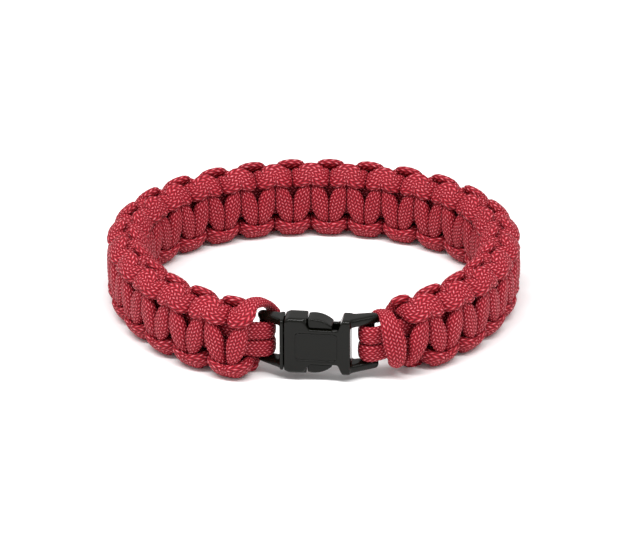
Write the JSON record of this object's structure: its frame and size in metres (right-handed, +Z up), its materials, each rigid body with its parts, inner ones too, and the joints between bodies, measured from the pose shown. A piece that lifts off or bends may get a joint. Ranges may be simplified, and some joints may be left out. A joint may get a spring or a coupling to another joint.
{
  "type": "paracord bracelet",
  "caption": "Wrist bracelet of red cord tied in cobra knots round two core cords, closed by a small black side-release buckle.",
  "frame": {"origin": "middle of the ring on the surface that the band's lower edge rests on", "axes": "+Z up along the ring's axis, -Y towards the buckle at the front, +X towards the socket's side"},
  "size_m": [0.0934, 0.0849, 0.0181],
  "materials": {
    "cord": "braided nylon sheath, soft sheen",
    "buckle_plastic": "moulded acetal, satin"
  },
  "bodies": {
    "root": {"buckle_socket": "buckle_plastic", "buckle_plug": "buckle_plastic", "core_cord": "cord", "outer_cord": "cord", "inner_cord": "cord"}
  },
  "joints": []
}
